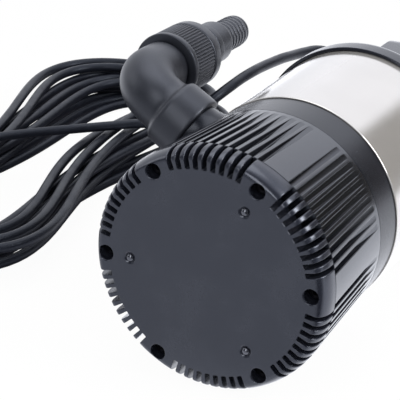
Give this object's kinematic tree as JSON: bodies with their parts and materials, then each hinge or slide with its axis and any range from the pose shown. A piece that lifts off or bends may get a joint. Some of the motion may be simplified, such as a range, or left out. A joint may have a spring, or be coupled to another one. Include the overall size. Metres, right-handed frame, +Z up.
{
  "type": "submersible sump pump",
  "caption": "Submersible sump pump with a slotted foot strainer, steel barrel, elbow outlet with hose tail, carrying handle and a coiled power cord.",
  "frame": {"origin": "centre of the flat foot face, on the pump's axis", "axes": "+Y along the pump's axis from the foot to the handle, +Z up as the pump lies on its side, +X to the right; the outlet points up to -X"},
  "size_m": [0.4945, 0.4753, 0.1826],
  "materials": {
    "foot_plastic": "glossy moulded",
    "strainer_plastic": "glossy moulded",
    "housing_plastic": "satin moulded",
    "black_plastic": "satin moulded",
    "impeller_plastic": "moulded",
    "stainless": "polished",
    "steel": "turned",
    "black_steel": "blackened",
    "lamination": "stamped sheet",
    "copper": "enamelled wire",
    "cast_aluminium": "as cast",
    "seal_carbon": "lapped",
    "seal_ceramic": "lapped",
    "o_ring_rubber": "matte",
    "cord_rubber": "soft sheen",
    "plug_plastic": "matte",
    "capacitor_case": "smooth"
  },
  "bodies": {
    "pump": {"foot_cap": "foot_plastic", "foot_screws": "black_steel", "foot_rivets": "black_steel", "strainer": "strainer_plastic", "strainer_screws": "steel", "suction_plate": "black_plastic", "pump_housing": "housing_plastic", "seal_seat": "seal_ceramic", "oil_chamber": "cast_aluminium", "lower_bearing_ring": "steel", "stator_core": "lamination", "stator_windings": "copper", "upper_bearing_ring": "steel", "bearing_bracket": "cast_aluminium", "barrel": "stainless", "lower_o_ring": "o_ring_rubber", "upper_o_ring": "o_ring_rubber", "top_cover": "housing_plastic", "tie_bolts": "steel", "handle": "housing_plastic", "handle_screws": "steel", "capacitor": "capacitor_case", "cable_gland": "black_plastic", "strain_relief": "cord_rubber", "power_cord": "cord_rubber", "cord_hank": "cord_rubber", "cord_tail": "cord_rubber", "plug": "plug_plastic", "plug_pins": "steel", "elbow_gasket": "o_ring_rubber", "discharge_elbow": "black_plastic", "union_seal": "o_ring_rubber", "hose_tail": "black_plastic"},
    "rotor": {"impeller": "impeller_plastic", "impeller_nut": "steel", "shaft": "steel", "seal_rotor": "seal_carbon", "lower_bearing_cone": "steel", "rotor_core": "lamination", "upper_bearing_cone": "steel"},
    "union_nut": {"union_nut": "black_plastic"}
  },
  "joints": [
    {"name": "rotor_spin", "type": "hinge", "parent": "pump", "child": "rotor", "pos_m": [0, 0.18, 0], "axis": [0, 1, 0], "continuous": true},
    {"name": "union_nut_spin", "type": "hinge", "parent": "pump", "child": "union_nut", "pos_m": [-0.12143, 0.1838, 0.06986], "axis": [-0.0416, 0.9969, -0.0665], "continuous": true}
  ]
}
